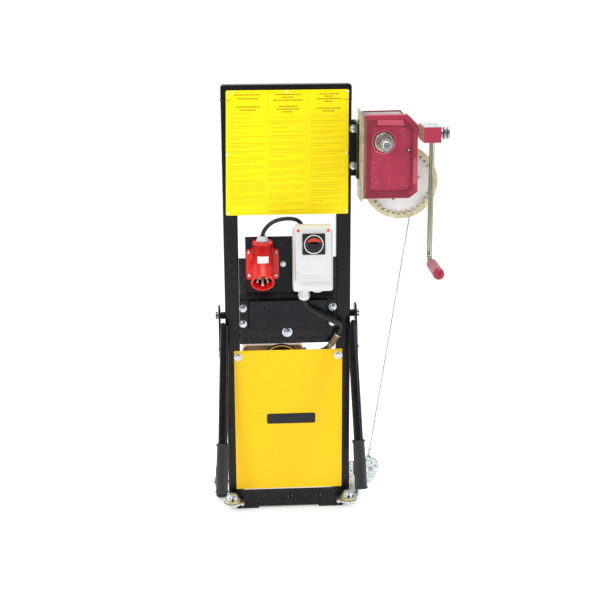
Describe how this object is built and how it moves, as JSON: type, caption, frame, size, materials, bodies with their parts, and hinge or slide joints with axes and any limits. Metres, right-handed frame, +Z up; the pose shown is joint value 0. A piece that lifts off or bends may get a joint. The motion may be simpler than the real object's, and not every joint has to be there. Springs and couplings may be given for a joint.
{
  "type": "wire rope puller",
  "caption": "Upright steel frame with a hand-cranked wire rope winch, hook block, motor starter, three-phase inlet, covered motor drive, fold-down handles and wheels.",
  "frame": {"origin": "bottom centre of the bounding box, on the floor", "axes": "+X to the operator's right, +Y to the back, +Z up"},
  "size_m": [0.631, 0.628, 1.221],
  "materials": {
    "black_paint": "gloss black paint",
    "yellow_plate": "satin yellow paint",
    "zinc": "bright zinc plate",
    "gold_zinc": "yellow passivated zinc",
    "steel": "machined steel",
    "rope_steel": "galvanised wire rope",
    "dark_red": "dark red paint",
    "red_plastic": "signal red",
    "grip_red": "dark red",
    "grey_plastic": "light grey",
    "black_plastic": "black",
    "pin_brass": "plated pins",
    "rubber": "black rubber",
    "cable_black": "black cable sheath",
    "beige_paint": "beige paint",
    "motor_grey": "grey paint"
  },
  "bodies": {
    "frame": {"upright_left": "black_paint", "upright_right": "black_paint", "top_bar": "black_paint", "crossbar_mid": "black_paint", "crossbar_low": "black_paint", "base_panel": "black_paint", "base_rail_left": "black_paint", "base_rail_right": "black_paint", "rear_bar": "black_paint", "pad_left": "rubber", "pad_right": "rubber", "wheel_axle": "zinc", "instruction_plate": "yellow_plate", "lower_cover": "yellow_plate", "rear_plate": "black_paint", "mount_plate": "black_paint", "cross_panel": "black_paint", "inlet_body": "red_plastic", "inlet_pins": "pin_brass", "inlet_cap": "grey_plastic", "enclosure_base": "grey_plastic", "enclosure_lid": "grey_plastic", "cable_gland": "grey_plastic", "cable_supply": "cable_black", "cable_motor": "cable_black", "motor_shelf": "black_paint", "gearbox": "beige_paint", "motor": "motor_grey", "winch_bracket": "black_paint", "winch_side_plate": "zinc", "winch_rear_plate": "dark_red", "winch_mid_plate": "zinc", "winch_cover": "dark_red", "crank_peg": "zinc", "guide_cheek_left": "zinc", "guide_cheek_right": "zinc", "rope_line": "rope_steel", "hook_block": "zinc", "tie_lug": "zinc"},
    "switch": {"switch_knob": "black_plastic"},
    "sheave": {"traction_sheave": "black_paint"},
    "drum": {"drum": "gold_zinc", "rope_wraps": "rope_steel"},
    "mid_shaft": {"mid_gear": "steel"},
    "input_shaft": {"input_shaft": "zinc"},
    "crank": {"crank_hub": "dark_red", "crank_rod": "zinc"},
    "crank_grip": {"crank_grip": "grip_red"},
    "crank_clamp": {"crank_clamp_screw": "zinc"},
    "wheel_left": {"wheel_left": "rubber"},
    "wheel_right": {"wheel_right": "rubber"},
    "handle_left": {"handle_left": "black_paint", "grip_left": "rubber"},
    "handle_right": {"handle_right": "black_paint", "grip_right": "rubber"},
    "roller_left": {"guide_roller_left": "gold_zinc"},
    "roller_right": {"guide_roller_right": "gold_zinc"},
    "block_sheave": {"block_sheave": "steel"},
    "block_hook": {"block_hook": "steel"},
    "hook_latch": {"hook_latch": "zinc"}
  },
  "joints": [
    {"name": "drum_spin", "type": "hinge", "parent": "frame", "child": "drum", "pos_m": [0.2019, -0.046, 0.9663], "axis": [0, 1, 0], "continuous": true},
    {"name": "mid_shaft_spin", "type": "hinge", "parent": "frame", "child": "mid_shaft", "pos_m": [0.1776, -0.086, 1.0212], "axis": [0, 1, 0], "continuous": true},
    {"name": "input_shaft_spin", "type": "hinge", "parent": "frame", "child": "input_shaft", "pos_m": [0.1515, -0.106, 1.079], "axis": [0, 1, 0], "continuous": true},
    {"name": "crank_pull_off", "type": "slide", "parent": "frame", "child": "crank", "axis": [0, -1, 0], "range_m": [0, 0.075]},
    {"name": "crank_grip_spin", "type": "hinge", "parent": "crank", "child": "crank_grip", "pos_m": [0.2721, -0.216, 0.768], "axis": [0, -1, 0], "continuous": true},
    {"name": "crank_clamp_turn", "type": "hinge", "parent": "crank", "child": "crank_clamp", "pos_m": [0.2965, -0.152, 1.106], "axis": [1, 0, 0], "range_deg": [-720, 0]},
    {"name": "switch_turn", "type": "hinge", "parent": "frame", "child": "switch", "pos_m": [-0.033, -0.121, 0.808], "axis": [0, 1, 0], "range_deg": [0, 90]},
    {"name": "sheave_spin", "type": "hinge", "parent": "frame", "child": "sheave", "pos_m": [-0.1155, 0.034, 0.425], "axis": [0, 1, 0], "continuous": true},
    {"name": "wheel_left_roll", "type": "hinge", "parent": "frame", "child": "wheel_left", "pos_m": [-0.295, 0.07, 0.048], "axis": [1, 0, 0], "continuous": true},
    {"name": "wheel_right_roll", "type": "hinge", "parent": "frame", "child": "wheel_right", "pos_m": [0.098, 0.07, 0.048], "axis": [1, 0, 0], "continuous": true},
    {"name": "handle_left_fold", "type": "hinge", "parent": "frame", "child": "handle_left", "pos_m": [-0.2885, 0, 0.582], "axis": [-1, 0, 0], "range_deg": [0, 85]},
    {"name": "handle_right_fold", "type": "hinge", "parent": "frame", "child": "handle_right", "pos_m": [0.0915, 0, 0.582], "axis": [-1, 0, 0], "range_deg": [0, 85]},
    {"name": "roller_left_spin", "type": "hinge", "parent": "frame", "child": "roller_left", "pos_m": [-0.263, -0.0485, 0.04], "axis": [0, 0, 1], "continuous": true},
    {"name": "roller_right_spin", "type": "hinge", "parent": "frame", "child": "roller_right", "pos_m": [0.0702, -0.0485, 0.04], "axis": [0, 0, 1], "continuous": true},
    {"name": "block_sheave_spin", "type": "hinge", "parent": "frame", "child": "block_sheave", "pos_m": [0.1365, -0.0275, 0.12138], "axis": [0, 1, 0], "continuous": true},
    {"name": "hook_swivel", "type": "hinge", "parent": "frame", "child": "block_hook", "pos_m": [0.10719, -0.0275, 0.06223], "axis": [-0.4236, 0, -0.9059], "range_deg": [-2, 2]},
    {"name": "hook_latch_open", "type": "hinge", "parent": "block_hook", "child": "hook_latch", "pos_m": [0.09431, -0.0275, 0.05169], "axis": [0, -1, 0], "range_deg": [0, 24], "stiffness_Nm_per_rad": 0.02}
  ],
  "couplings": [
    {"joint": "mid_shaft_spin", "follows": "drum_spin", "ratio": 3.5},
    {"joint": "input_shaft_spin", "follows": "drum_spin", "ratio": -7}
  ]
}
